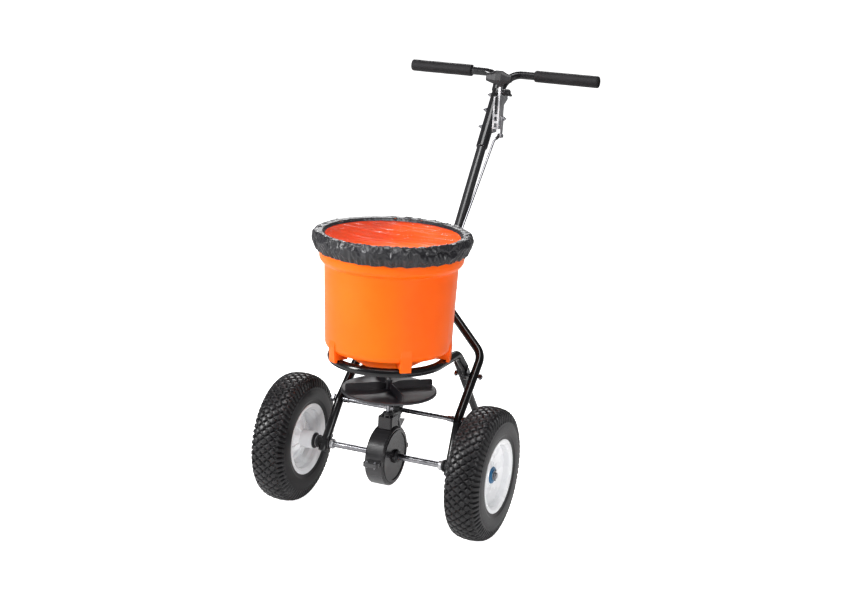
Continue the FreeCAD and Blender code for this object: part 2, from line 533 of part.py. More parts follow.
inner_keep = revolve([(HOP_FLOOR + w, 0.0), (HOP_FLOOR + w, 56.5), (443.5, 117.0), (450.5, 136.0), (454.5, 146.5, "a"), (464.0, 151.4), (500.0, 152.8), (500.0, 0.0)], (0, HOP_Y, 0), (0, 0, 1))
low_cut = box(-200, 200, -250, 200, 380, 433.0).cut(Part.makeCylinder(300, 60, V(0, HOP_Y, 378)).cut(Part.makeCylinder(147.6, 60, V(0, HOP_Y, 378))))
for f in feet:
    f = f.common(foot_env).cut(inner_keep).cut(low_cut)
    f = f.cut(ring_fat)
    f = max(f.Solids, key=lambda s: s.Volume)
    hopper = hopper.fuse(f)
# shaft hole and outlets
hopper = hopper.cut(cyl((0, 0, 395), (0, 0, 415), 9.0))
PORTS = [(-27.0, -30.0), (27.0, -30.0)]
G_OPEN = 17.2          # gate travel from rest to open, along -Y
for px_, py_ in PORTS:
    prt = Part.makeBox(20.0, 24.0, 30.0, V(px_ - 10.0, py_ - 12.0, 395.0))
    prt = prt.makeFillet(5.0, [e for e in prt.Edges if abs(e.BoundBox.ZLength - 30.0) < 1e-6])
    hopper = hopper.cut(prt)
put("hopper", hopper.removeSplitter())

# shaft bush in the hopper floor
put("hopper_bush", turned((0, 0, 0), (0, 0, 1), [(403.0, SHAFT_R + RUN), (413.0, SHAFT_R + RUN), (413.0, 12.0), (407.55, 12.0), (407.55, 8.95), (403.0, 8.95)]))

# gate guide: two rails under the floor, and the plate that slides between them
GT0, GT1 = 399.2, 402.2
for sx in (-1, 1):
    rail = Part.makeBox(8.0, 96.0, 6.9, V(sx * 46.0 - 4.0, -64.0, 397.0))
    lip = Part.makeBox(6.0, 96.0, 1.9, V(sx * 40.0 - 3.0, -64.0, 397.0))
    rr = rail.fuse(lip)
    for yy in (-52.0, -16.0, 20.0):
        if yy == -16.0:
            continue
        rr = rr.cut(cyl((sx * 46.0, yy, 390), (sx * 46.0, yy, 410), 2.1))
        put("gate_screws", Part.makeCylinder(2.05, 9.0, V(sx * 46.0, yy, 394.98), V(0, 0, 1)).fuse(Part.makeCylinder(4.0, 2.4, V(sx * 46.0, yy, 394.55), V(0, 0, 1))))
    put("gate_guide", rr)
gate = Part.makeBox(82.0, 118.0, GT1 - GT0, V(-41.0, -76.0, GT0))
gate = gate.makeFillet(10.0, [e for e in gate.Edges if abs(e.BoundBox.ZLength - (GT1 - GT0)) < 1e-6])
slot = Part.makeBox(12.0, 38.4, 20.0, V(-6.0, -13.2, 390.0))
slot = slot.makeFillet(5.9, [e for e in slot.Edges if abs(e.BoundBox.ZLength - 20.0) < 1e-6])
slot.translate(V(0, -2.0, 0))
gate = gate.cut(slot)
for px_, py_ in PORTS:
    prt = Part.makeBox(20.0, 20.0, 30.0, V(px_ - 10.0, py_ + G_OPEN - 10.0, 390.0))
    prt = prt.makeFillet(5.0, [e for e in prt.Edges if abs(e.BoundBox.ZLength - 30.0) < 1e-6])
    gate = gate.cut(prt)
gate = gate.fuse(Part.makeBox(16.0, 92.0, GT1 - GT0, V(-10.0, 38.0, GT0)))
tab = Part.makeBox(3.0, 26.0, 32.0, V(-2.5, L_Y - 13.0, 384.0))
tab = tab.makeFillet(5.0, [e for e in tab.Edges if abs(e.BoundBox.XLength - 3.0) < 1e-6])
gate = gate.fuse(tab)
# tall slot: takes up the arc of the lever's lower arm
tall = Part.makeBox(10.0, 7.6, 15.0, V(-6.0, L_Y - 3.8, L_Z - 5.2))
tall = tall.makeFillet(3.7, [e for e in tall.Edges if abs(e.BoundBox.XLength - 10.0) < 1e-6])
gate = gate.cut(tall)
put("gate", gate.removeSplitter())

# ---------------------------------------------------------------- rain cover
band = revolve([(COVER_HEM, 177.2), (COVER_HEM, 181.0), (COVER_HEM + 6.0, 185.5), (COVER_HEM + 24.0, COVER_R), (COVER_TOP - 7.0, 187.0), (COVER_TOP - 2.0, 184.0, "a"), (COVER_TOP, 178.0),
                (COVER_TOP - 1.0, 171.5), (COVER_TOP - 9.0, 163.0), (COVER_TOP - 11.5, 163.0), (COVER_TOP - 3.65, 170.0), (COVER_TOP - 3.65, 176.6), (COVER_TOP - 8.0, 177.2)], (0, HOP_Y, 0), (0, 0, 1))
put("rain_cover_band", band)
put("rain_cover_window", Part.makeCylinder(162.95, 1.0, V(0, HOP_Y, COVER_TOP - 10.8)))

# ---------------------------------------------------------------- impeller and shaft
shaft = cyl((0, 0, 208.0), (0, 0, 452.0), SHAFT_R)
shaft = shaft.cut(cyl((-20, 0, 220.0), (20, 0, 220.0), 1.52)).cut(cyl((-20, 0, 352.0), (20, 0, 352.0), 1.52)).cut(cyl((-30, 0, 436.0), (30, 0, 436.0), 2.52))
es = [e for e in shaft.Edges if isinstance(e.Curve, Part.Circle) and abs(e.Curve.Radius - SHAFT_R) < 1e-6 and (abs(e.BoundBox.Center.z - 452) < 1e-3 or abs(e.BoundBox.Center.z - 208) < 1e-3)]
shaft = shaft.makeChamfer(0.8, es)
put("shaft", shaft)
imp = revolve([(331.0, SHAFT_R + 0.02), (331.0, 14.0), (333.5, 16.0), (333.5, IMP_R - 4.0), (330.5, IMP_R - 2.8), (330.5, IMP_R), (335.5, IMP_R - 0.4), (337.0, IMP_R - 3.0), (336.6, 112.0), (IMP_Z + 1.0, 20.0), (339.0, 9.0), (359.0, 7.8), (360.0, 7.0), (360.0, SHAFT_R + 0.02)], (0, 0, 0), (0, 0, 1))
for a in (42.0, 132.0, 222.0, 312.0):
    vane = Part.Face(Part.makePolygon([V(6.0, -1.3, 334.0), V(112.0, -1.3, 334.0), V(112.0, -1.3, 353.0), V(109.0, -1.3, 356.0), V(24.0, -1.3, 356.0), V(6.0, -1.3, 350.0), V(6.0, -1.3, 334.0)])).extrude(V(0, 2.6, 0))
    vane.rotate(V(0, 0, 0), V(0, 0, 1), a)
    imp = imp.fuse(vane)
imp = imp.cut(cyl((0, 0, 320), (0, 0, 380), SHAFT_R + 0.02)).cut(cyl((-20, 0, 352.0), (20, 0, 352.0), 1.52))
put("impeller", imp.removeSplitter())
put("shaft_pins", cyl((-10.0, 0, 352.0), (10.0, 0, 352.0), 1.5), cyl((-7.0, 0, 220.0), (7.0, 0, 220.0), 1.5))
ag = cyl((-26.0, 0, 436.0), (26.0, 0, 436.0), 2.5)
put("agitator", ag)

# pinion
pin = Part.makeCylinder(7.4, 12.0, V(0, 0, 214.0))
for k in range(PIN_N):
    a = 180.0 + 22.5 + 45.0 * k
    t = Part.Face(Part.makePolygon([V(6.5, -2.1, 214.5), V(11.0, -1.6, 214.5), V(13.4, -0.9, 214.5), V(13.4, 0.9, 214.5), V(11.0, 1.6, 214.5), V(6.5, 2.1, 214.5), V(6.5, -2.1, 214.5)])).extrude(V(0, 0, 10.5))
    t.rotate(V(0, 0, 0), V(0, 0, 1), a)
    pin = pin.fuse(t)
pin = pin.cut(cyl((0, 0, 200), (0, 0, 240), SHAFT_R + 0.02)).cut(cyl((-20, 0, 220.0), (20, 0, 220.0), 1.52))
put("pinion", pin.removeSplitter())

# ring gear: a disc on the axle with face teeth towards the pinion
gear = revolve([(-19.2, 8.02), (6.0, 8.02), (6.0, 14.0), (-13.6, 14.0), (-14.6, 20.0), (-14.6, 61.0), (-19.2, 61.0)], (0, 0, AXLE_Z), (1, 0, 0))
tooth0 = Part.Face(Part.makePolygon([V(-14.8, -1.75, 0), V(-11.0, -1.5, 0), V(-8.5, -0.9, 0), V(-8.5, 0.9, 0), V(-11.0, 1.5, 0), V(-14.8, 1.75, 0), V(-14.8, -1.75, 0)])).extrude(V(0, 0, 10.0))
tooth0.translate(V(0, 0, 50.0))
teeth = []
for k in range(GEAR_N):
    t = tooth0.copy()
    t.rotate(V(0, 0, 0), V(1, 0, 0), 360.0 / GEAR_N * k)
    t.translate(V(0, 0, AXLE_Z))
    teeth.append(t)
gear = gear.multiFuse(teeth)
gear = gear.cut(cyl((-4, 0, AXLE_Z - 20), (-4, 0, AXLE_Z + 20), 2.02))
for k in range(6):
    h = cyl((-25, 0, 0), (0, 0, 0), 8.0)
    h.translate(V(0, 34.0 * math.cos(math.radians(60 * k)), AXLE_Z + 34.0 * math.sin(math.radians(60 * k))))
    gear = gear.cut(h)
put("ring_gear", gear.removeSplitter())
put("axle_pins", cyl((-4, 0, AXLE_Z - 13.5), (-4, 0, AXLE_Z + 13.5), 2.0))

# ---------------------------------------------------------------- gearbox casing
drum = revolve([(-BOX_HW, 0), (-BOX_HW, BOX_R - 4), (-BOX_HW + 4, BOX_R), (BOX_HW - 4, BOX_R), (BOX_HW, BOX_R - 4), (BOX_HW, 0)], (0, 0, AXLE_Z), (1, 0, 0))
# raised rim and hub boss on each side
for sx in (-1, 1):
    rimr = revolve([(sx * (BOX_HW - 1), 60.0), (sx * (BOX_HW + 2), 60.5), (sx * (BOX_HW + 2), 66.0), (sx * (BOX_HW - 1), 67.0)], (0, 0, AXLE_Z), (1, 0, 0))
    boss = revolve([(sx * (BOX_HW - 1), 0), (sx * (BOX_HW + 7), 0), (sx * (BOX_HW + 7), 15.0), (sx * (BOX_HW + 6), 16.5), (sx * (BOX_HW - 1), 18.0)], (0, 0, AXLE_Z), (1, 0, 0))
    drum = drum.fuse(rimr).fuse(boss)
neck = Part.makeBox(38.0, 44.0, 36.0, V(-19.0, -20.0, 231.0))
neck = neck.makeFillet(6.0, [e for e in neck.Edges if abs(e.BoundBox.ZLength - 36.0) < 1e-6])
neck2 = Part.makeCylinder(14.0, 8.0, V(0, 0, 265.0))
arm1 = Part.makeBox(16.0, 42.0, 20.0, V(-8.0, 20.0, 245.0))
hook = Part.makeCylinder(13.0, 16.0, V(-8.0, ROSS_Y, ROSS_Z), V(1, 0, 0))
drum = drum.fuse(neck).fuse(neck2).fuse(arm1).fuse(hook)
# split flange with front and rear lugs
flange = Part.makeBox(40.0, 2 * 97.0, 10.0, V(-20.0, -97.0, AXLE_Z - 5.0))
flange = flange.makeFillet(9.0, [e for e in flange.Edges if abs(e.BoundBox.ZLength - 10.0) < 1e-6])
drum = drum.fuse(flange)
inside = revolve([(-BOX_HW + 2.8, 0), (-BOX_HW + 2.8, BOX_R - 3), (BOX_HW - 2.8, BOX_R - 3), (BOX_HW - 2.8, 0)], (0, 0, AXLE_Z), (1, 0, 0))
case = drum.cut(inside)
case = case.cut(cyl((-60, 0, AXLE_Z), (60, 0, AXLE_Z), 11.02)).cut(cyl((0, 0, 200), (0, 0, 300), 9.02))
case = case.cut(cyl((-20, ROSS_Y, ROSS_Z), (20, ROSS_Y, ROSS_Z), 6.1))
SCR = [(-11.0, -88.5), (11.0, -88.5), (-11.0, 88.5), (11.0, 88.5)]
for xx, yy in SCR:
    case = case.cut(cyl((xx, yy, 150), (xx, yy, 180), 2.1))
    put("gearbox_screws", Part.makeCylinder(2.05, 16.0, V(xx, yy, 158.0)).fuse(Part.makeCylinder(3.8, 2.6, V(xx, yy, AXLE_Z + 5.02))).fuse(hexa((xx, yy, 156.8), (xx, yy, 159.9), 7.0)))
upper = case.common(box(-100, 100, -200, 200, AXLE_Z + 0.02, 400))
lower = case.common(box(-100, 100, -200, 200, 0, AXLE_Z))
put("gearbox_upper", max(upper.removeSplitter().Solids, key=lambda s: s.Volume))
put("gearbox_lower", max(lower.removeSplitter().Solids, key=lambda s: s.Volume))
# screws that close the casing, on bosses low on the side
for sx in (-1, 1):
    b1 = turned((0, 0, AXLE_Z), (sx, 0, 0), [(BOX_HW - 2.7, AXLE_R + RUN), (BOX_HW + 9.0, AXLE_R + RUN), (BOX_HW + 9.0, 14.0), (BOX_HW + 7.05, 14.0), (BOX_HW + 7.05, 11.0), (BOX_HW - 2.7, 11.0)])
    put("gearbox_bushes", b1)
put("shaft_bush", turned((0, 0, 0), (0, 0, 1), [(238.5, SHAFT_R + RUN), (276.0, SHAFT_R + RUN), (276.0, 12.0), (273.05, 12.0), (273.05, 9.0), (238.5, 9.0)]))

# ---------------------------------------------------------------- seats
def seat(name, *into):
    """Takes from a piece whatever the pieces it is pressed, welded or clamped against already fill."""
    new = []
    for sh in [t for q in nodes[name] for t in q.Solids]:
        for other in into:
            for o in nodes[other]:
                if sh.BoundBox.intersect(o.BoundBox):
                    sh = sh.cut(o)
        new.append(max(sh.Solids, key=lambda t: t.Volume))
    nodes[name] = new


for side in ("left", "right"):
    seat("tyre_" + side, "rim_" + side)
    seat("rim_" + side, "valve_stems_" + side)
    seat("stand_leg_" + side, "hopper_ring")
    seat("stand_foot_" + side, "stand_leg_" + side)
    seat("frame_leg_" + side, "frame_bolts", "tube_plugs")
seat("handle_stem", "handlebar_left", "handlebar_right")
seat("tube_plugs", "hopper_ring", "stand_leg_left", "stand_leg_right")
seat("shaft_bush", "gearbox_upper")

# ---------------------------------------------------------------- write
for name, shapes in sorted(nodes.items()):
    solids = []
    for s in shapes:
        solids.extend(s.Solids)
    for s in solids:
        if not s.isValid():
            print("NOT VALID", name)
    shape = solids[0] if len(solids) == 1 else Part.makeCompound(solids)
    shape = shape.copy()
    shape.translate(V(0, Y_SHIFT, 0))
    shape.exportStep("parts/%s.step" % name)
    bb = shape.BoundBox
    print("%-20s n=%d vol=%.0f  x %.1f %.1f y %.1f %.1f z %.1f %.1f" % (name, len(solids), sum(s.Volume for s in solids), bb.XMin, bb.XMax, bb.YMin, bb.YMax, bb.ZMin, bb.ZMax))
print("shift", Y_SHIFT, "nodes", len(nodes))
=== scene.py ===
import math
import random

import bmesh
import bpy
from mathutils import Matrix, Vector, noise


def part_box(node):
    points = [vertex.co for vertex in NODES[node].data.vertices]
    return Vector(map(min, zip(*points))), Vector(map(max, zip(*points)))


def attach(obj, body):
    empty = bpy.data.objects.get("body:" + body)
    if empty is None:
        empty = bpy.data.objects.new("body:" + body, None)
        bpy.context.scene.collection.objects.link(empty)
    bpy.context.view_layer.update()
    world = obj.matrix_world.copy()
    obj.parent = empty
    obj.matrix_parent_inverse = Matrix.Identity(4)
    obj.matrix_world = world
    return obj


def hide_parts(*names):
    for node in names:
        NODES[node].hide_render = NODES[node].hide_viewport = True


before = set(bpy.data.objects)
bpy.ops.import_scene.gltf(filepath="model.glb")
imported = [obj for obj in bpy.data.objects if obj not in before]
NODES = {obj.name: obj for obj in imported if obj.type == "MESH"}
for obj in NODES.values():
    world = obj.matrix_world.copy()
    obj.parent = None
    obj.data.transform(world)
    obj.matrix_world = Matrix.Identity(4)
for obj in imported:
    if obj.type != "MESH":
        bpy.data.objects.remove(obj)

random.seed(7)
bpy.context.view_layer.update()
scene = bpy.context.scene


def centre(node):
    lo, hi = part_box(node)
    return Vector([(a + b) / 2 for a, b in zip(lo, hi)])


AXLE = centre("axle")
Y0 = AXLE.y
HOP = centre("rain_cover_window")
HEM_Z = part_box("rain_cover_band")[0][2]
TOP_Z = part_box("rain_cover_band")[1][2]

# ------------------------------------------------------------------ camera
az, el, roll = math.radians(23.14), math.radians(14.371), math.radians(2.77)
dist = 3.872
target = Vector((0.085, Y0, 0.5746))
back = Vector((math.sin(az) * math.cos(el), -math.cos(az) * math.cos(el), math.sin(el)))
eye = target + back * dist
right = (-back).cross(Vector((0, 0, 1))).normalized()
up = right.cross(-back)
r2 = right * math.cos(roll) + up * math.sin(roll)
u2 = -right * math.sin(roll) + up * math.cos(roll)
cam_data = bpy.data.cameras.new("Camera")
cam_data.sensor_width = 36.0
cam_data.lens = 1607.4 * 36.0 / 850.0
cam_data.clip_end = 200.0
cam = bpy.data.objects.new("Camera", cam_data)
m = Matrix((r2, u2, back)).transposed().to_4x4()
m.translation = eye
cam.matrix_world = m
scene.collection.objects.link(cam)
scene.camera = cam

# ------------------------------------------------------------------ light
world = bpy.data.worlds.new("World")
scene.world = world
world.use_nodes = True
wn = world.node_tree.nodes
wl = world.node_tree.links
bg = wn.get("Background")
bg.inputs["Color"].default_value = (1, 1, 1, 1)
lp = wn.new("ShaderNodeLightPath")
mx = wn.new("ShaderNodeMapRange")
mx.inputs["To Min"].default_value = 0.16
mx.inputs["To Max"].default_value = 1.0
wl.new(lp.outputs["Is Camera Ray"], mx.inputs["Value"])
wl.new(mx.outputs["Result"], bg.inputs["Strength"])
try:
    scene.view_settings.view_transform = "Standard"
    scene.view_settings.look = "Medium High Contrast"
except TypeError:
    pass


def area(name, loc, aim, size, size_y, power):
    d = bpy.data.lights.new(name, "AREA")
    d.shape = "RECTANGLE"
    d.size, d.size_y = size, size_y
    d.energy = power
    o = bpy.data.objects.new(name, d)
    o.location = loc
    o.rotation_euler = (Vector(aim) - Vector(loc)).to_track_quat("-Z", "Y").to_euler()
    scene.collection.objects.link(o)
    return o


area("key", (-2.3, -2.7, 2.0), (0, -0.2, 0.5), 0.9, 1.9, 120)
area("fill", (2.6, -2.0, 1.3), (0, -0.1, 0.45), 0.35, 1.8, 34)
area("top", (0.1, -0.9, 3.0), (0, -0.2, 0.3), 1.6, 1.2, 44)
area("rear", (-1.4, 2.6, 2.4), (0, 0, 0.6), 1.6, 1.0, 38)

# ------------------------------------------------------------------ materials
MAT = {}


def material(name):
    mt = bpy.data.materials.new(name)
    mt.use_nodes = True
    MAT[name] = mt
    return mt, mt.node_tree.nodes, mt.node_tree.links, mt.node_tree.nodes["Principled BSDF"]


def tex_noise(n, l, scale, detail=4.0, rough=0.55, coords="Object", stretch=None):
    tc = n.new("ShaderNodeTexCoord")
    t = n.new("ShaderNodeTexNoise")
    t.inputs["Scale"].default_value = scale
    t.inputs["Detail"].default_value = detail
    t.inputs["Roughness"].default_value = rough
    if stretch:
        mp = n.new("ShaderNodeMapping")
        mp.inputs["Scale"].default_value = stretch
        l.new(tc.outputs[coords], mp.inputs["Vector"])
        l.new(mp.outputs["Vector"], t.inputs["Vector"])
    else:
        l.new(tc.outputs[coords], t.inputs["Vector"])
    return t


def ramp(n, l, src, stops):
    r = n.new("ShaderNodeValToRGB")
    cr = r.color_ramp
    while len(cr.elements) < len(stops):
        cr.elements.new(0.5)
    for e, (p, c) in zip(cr.elements, stops):
        e.position = p
        e.color = c if len(c) == 4 else (*c, 1)
    l.new(src, r.inputs["Fac"])
    return r


def map_range(n, l, src, a, b, lo=0.3, hi=0.7):
    r = n.new("ShaderNodeMapRange")
    r.inputs["From Min"].default_value = lo
    r.inputs["From Max"].default_value = hi
    r.inputs["To Min"].default_value = a
    r.inputs["To Max"].default_value = b
    l.new(src, r.inputs["Value"])
    return r


def bump(n, l, bsdf, srcs):
    """srcs: (socket, strength, distance) chained."""
    prev = None
    for s, st, d in srcs:
        b = n.new("ShaderNodeBump")
        b.inputs["Strength"].default_value = st
        b.inputs["Distance"].default_value = d
        l.new(s, b.inputs["Height"])
        if prev:
            l.new(prev.outputs["Normal"], b.inputs["Normal"])
        prev = b
    l.new(prev.outputs["Normal"], bsdf.inputs["Normal"])


def finish_mat(name, c0, c1, rough0, rough1, scale=9.0, metallic=0.0, spec=0.5, coat=0.0, coat_rough=0.1,
               fine=420.0, fine_strength=0.08, fine_dist=0.0002, wave=None, edge=None):
    mt, n, l, b = material(name)
    big = tex_noise(n, l, scale, 5.0)
    small = tex_noise(n, l, fine, 3.0)
    cr = ramp(n, l, big.outputs["Fac"], [(0.32, c0), (0.68, c1)])
    col = cr.outputs["Color"]
    if edge:
        g = n.new("ShaderNodeNewGeometry")
        er = ramp(n, l, g.outputs["Pointiness"], [(0.52, (0, 0, 0)), (0.60, (1, 1, 1))])
        mixn = n.new("ShaderNodeMix")
        mixn.data_type = "RGBA"
        l.new(er.outputs["Color"], mixn.inputs["Factor"])
        l.new(col, mixn.inputs["A"])
        mixn.inputs["B"].default_value = (*edge, 1)
        col = mixn.outputs["Result"]
    l.new(col, b.inputs["Base Color"])
    rr = map_range(n, l, big.outputs["Fac"], rough0, rough1)
    l.new(rr.outputs["Result"], b.inputs["Roughness"])
    b.inputs["Metallic"].default_value = metallic
    b.inputs["Specular IOR Level"].default_value = spec
    if coat:
        b.inputs["Coat Weight"].default_value = coat
        b.inputs["Coat Roughness"].default_value = coat_rough
    src = [(small.outputs["Fac"], fine_strength, fine_dist)]
    if wave:
        w = tex_noise(n, l, wave[0], 2.0)
        src.append((w.outputs["Fac"], wave[1], wave[2]))
    bump(n, l, b, src)
    return mt


finish_mat("powder_black", (0.006, 0.006, 0.007), (0.011, 0.0105, 0.012), 0.17, 0.27, scale=14, spec=0.38, coat=0.22, coat_rough=0.08,
           fine=300, fine_strength=0.10, fine_dist=0.0004, wave=(60, 0.08, 0.0008), edge=(0.03, 0.03, 0.032))
finish_mat("moulded_black", (0.010, 0.010, 0.011), (0.020, 0.019, 0.021), 0.36, 0.52, scale=20, fine=900, fine_strength=0.22, fine_dist=0.0003,
           edge=(0.04, 0.04, 0.042))
finish_mat("impeller_black", (0.016, 0.014, 0.018), (0.030, 0.028, 0.034), 0.30, 0.46, scale=14, fine=500, fine_strength=0.12, fine_dist=0.0003,
           wave=(40, 0.10, 0.0006), edge=(0.06, 0.06, 0.065))
finish_mat("gearbox_black", (0.008, 0.007, 0.008), (0.016, 0.014, 0.016), 0.18, 0.29, scale=18, coat=0.25, coat_rough=0.15, fine=700,
           fine_strength=0.14, fine_dist=0.0003, edge=(0.05, 0.05, 0.052))
finish_mat("moulded_blue", (0.010, 0.10, 0.22), (0.018, 0.16, 0.33), 0.30, 0.42, scale=60, fine=900, fine_strength=0.12, fine_dist=0.0002)
finish_mat("natural_nylon", (0.62, 0.60, 0.52), (0.72, 0.70, 0.62), 0.40, 0.52, scale=30, fine=800, fine_strength=0.12, fine_dist=0.0002)
finish_mat("white_enamel", (0.80, 0.81, 0.83), (0.88, 0.88, 0.89), 0.22, 0.32, scale=10, coat=0.4, coat_rough=0.1, fine=260, fine_strength=0.08,
           fine_dist=0.0004, wave=(45, 0.06, 0.0006))
finish_mat("valve_rubber", (0.012, 0.012, 0.012), (0.02, 0.02, 0.02), 0.5, 0.65, scale=40, fine=700, fine_strength=0.2, fine_dist=0.0003)
finish_mat("zinc", (0.21, 0.21, 0.225), (0.34, 0.34, 0.355), 0.18, 0.32, scale=26, metallic=1.0, fine=650, fine_strength=0.05, fine_dist=0.0002,
           wave=(90, 0.06, 0.0003))
finish_mat("zinc_dull", (0.42, 0.42, 0.44), (0.60, 0.60, 0.61), 0.30, 0.46, scale=40, metallic=1.0, fine=500, fine_strength=0.08, fine_dist=0.0002,
           wave=(120, 0.08, 0.0003))


def orange_mat():
    mt, n, l, b = material("moulded_orange")
    big = tex_noise(n, l, 3.0, 4.0)
    mid = tex_noise(n, l, 26.0, 5.0)
    fine = tex_noise(n, l, 900.0, 2.0)
    cr = ramp(n, l, big.outputs["Fac"], [(0.30, (0.93, 0.130, 0.002)), (0.70, (0.98, 0.165, 0.003))])
    l.new(cr.outputs["Color"], b.inputs["Base Color"])
    rr = map_range(n, l, mid.outputs["Fac"], 0.30, 0.40)
    l.new(rr.outputs["Result"], b.inputs["Roughness"])
    b.inputs["Specular IOR Level"].default_value = 0.28
    b.inputs["Subsurface Weight"].default_value = 0.12
    b.inputs["Subsurface Radius"].default_value = (0.012, 0.004, 0.001)
    b.inputs["Subsurface Scale"].default_value = 0.4
    bump(n, l, b, [(fine.outputs["Fac"], 0.10, 0.0003), (mid.outputs["Fac"], 0.05, 0.0008)])
    return mt


orange_mat()


def tyre_mat():
    mt, n, l, b = material("tyre_rubber")
    big = tex_noise(n, l, 16.0, 6.0, 0.6)
    fine = tex_noise(n, l, 520.0, 4.0)
    cr = ramp(n, l, big.outputs["Fac"], [(0.30, (0.008, 0.008, 0.009)), (0.70, (0.018, 0.017, 0.019))])
    l.new(cr.outputs["Color"], b.inputs["Base Color"])
    rr = map_range(n, l, fine.outputs["Fac"], 0.28, 0.42)
    l.new(rr.outputs["Result"], b.inputs["Roughness"])
    b.inputs["Specular IOR Level"].default_value = 0.45
    bump(n, l, b, [(fine.outputs["Fac"], 0.25, 0.0005), (big.outputs["Fac"], 0.1, 0.001)])


tyre_mat()


def foam_mat():
    mt, n, l, b = material("grip_foam")
    tc = n.new("ShaderNodeTexCoord")
    v = n.new("ShaderNodeTexVoronoi")
    v.inputs["Scale"].default_value = 900.0
    l.new(tc.outputs["Object"], v.inputs["Vector"])
    big = tex_noise(n, l, 30.0, 5.0)
    cr = ramp(n, l, big.outputs["Fac"], [(0.30, (0.011, 0.010, 0.011)), (0.70, (0.020, 0.019, 0.021))])
    l.new(cr.outputs["Color"], b.inputs["Base Color"])
    rr = map_range(n, l, big.outputs["Fac"], 0.50, 0.64)
    l.new(rr.outputs["Result"], b.inputs["Roughness"])
    b.inputs["Sheen Weight"].default_value = 0.07
    b.inputs["Sheen Roughness"].default_value = 0.4
    b.inputs["Specular IOR Level"].default_value = 0.28
    bump(n, l, b, [(v.outputs["Distance"], 0.35, 0.0005), (big.outputs["Fac"], 0.15, 0.0015)])


foam_mat()


def nylon_mat():
    mt, n, l, b = material("cover_nylon")
    tc = n.new("ShaderNodeTexCoord")
    mp = n.new("ShaderNodeMapping")
    l.new(tc.outputs["UV"], mp.inputs["Vector"])
    w1 = n.new("ShaderNodeTexWave")
    w1.bands_direction = "X"
    w1.inputs["Scale"].default_value = 230.0
    w2 = n.new("ShaderNodeTexWave")
    w2.bands_direction = "Y"
    w2.inputs["Scale"].default_value = 230.0
    for w in (w1, w2):
        l.new(mp.outputs["Vector"], w.inputs["Vector"])
    mul = n.new("ShaderNodeMath")
    mul.operation = "MULTIPLY"
    l.new(w1.outputs["Fac"], mul.inputs[0])
    l.new(w2.outputs["Fac"], mul.inputs[1])
    big = tex_noise(n, l, 18.0, 5.0)
    crease = tex_noise(n, l, 55.0, 5.0, 0.6)
    cr = ramp(n, l, big.outputs["Fac"], [(0.30, (0.010, 0.010, 0.012)), (0.70, (0.026, 0.025, 0.030))])
    l.new(cr.outputs["Color"], b.inputs["Base Color"])
    rr = map_range(n, l, crease.outputs["Fac"], 0.30, 0.46)
    l.new(rr.outputs["Result"], b.inputs["Roughness"])
    b.inputs["Specular IOR Level"].default_value = 0.6
    b.inputs["Sheen Weight"].default_value = 0.15
    b.inputs["Sheen Roughness"].default_value = 0.4
    bump(n, l, b, [(mul.outputs["Value"], 0.10, 0.0002), (crease.outputs["Fac"], 0.35, 0.0012)])


nylon_mat()


def film_mat():
    mt, n, l, b = material("clear_film")
    big = tex_noise(n, l, 9.0, 3.0, stretch=(1.0, 2.6, 1.0))
    # the film's wrinkles: they bump the surface as real creases, and they also raise the opacity of the white base
    # colour into painted highlight lines along them
    wrinkle_and_highlight_streak = tex_noise(n, l, 22.0, 4.0, 0.5, stretch=(0.6, 4.5, 1.0))
    cr = ramp(n, l, big.outputs["Fac"], [(0.35, (0.80, 0.80, 0.84)), (0.65, (0.95, 0.93, 0.96))])
    l.new(cr.outputs["Color"], b.inputs["Base Color"])
    # opacity rises along the wrinkle streaks so the white base colour shows there as painted highlight lines
    painted_highlight_alpha = ramp(n, l, wrinkle_and_highlight_streak.outputs["Fac"], [(0.46, (0.035, 0.035, 0.035)), (0.60, (0.08, 0.08, 0.08)), (0.66, (0.30, 0.30, 0.30)), (0.71, (0.06, 0.06, 0.06))])
    l.new(painted_highlight_alpha.outputs["Color"], b.inputs["Alpha"])
    rr = map_range(n, l, big.outputs["Fac"], 0.05, 0.14)
    l.new(rr.outputs["Result"], b.inputs["Roughness"])
    b.inputs["Specular IOR Level"].default_value = 0.6
    bump(n, l, b, [(wrinkle_and_highlight_streak.outputs["Fac"], 0.4, 0.002)])


film_mat()


def floor_mat():
    mt, n, l, b = material("floor")
    t = tex_noise(n, l, 2.0, 2.0)
    cr = ramp(n, l, t.outputs["Fac"], [(0.3, (0.90, 0.90, 0.90)), (0.7, (0.92, 0.92, 0.92))])
    l.new(cr.outputs["Color"], b.inputs["Base Color"])
    b.inputs["Roughness"].default_value = 0.75
    b.inputs["Specular IOR Level"].default_value = 0.2
    path_ = n.new("ShaderNodeLightPath")
    em = n.new("ShaderNodeMapRange")
    em.inputs["To Min"].default_value = 0.06
    em.inputs["To Max"].default_value = 0.85
    l.new(path_.outputs["Is Camera Ray"], em.inputs["Value"])
    b.inputs["Emission Color"].default_value = (1, 1, 1, 1)
    l.new(em.outputs["Result"], b.inputs["Emission Strength"])


floor_mat()

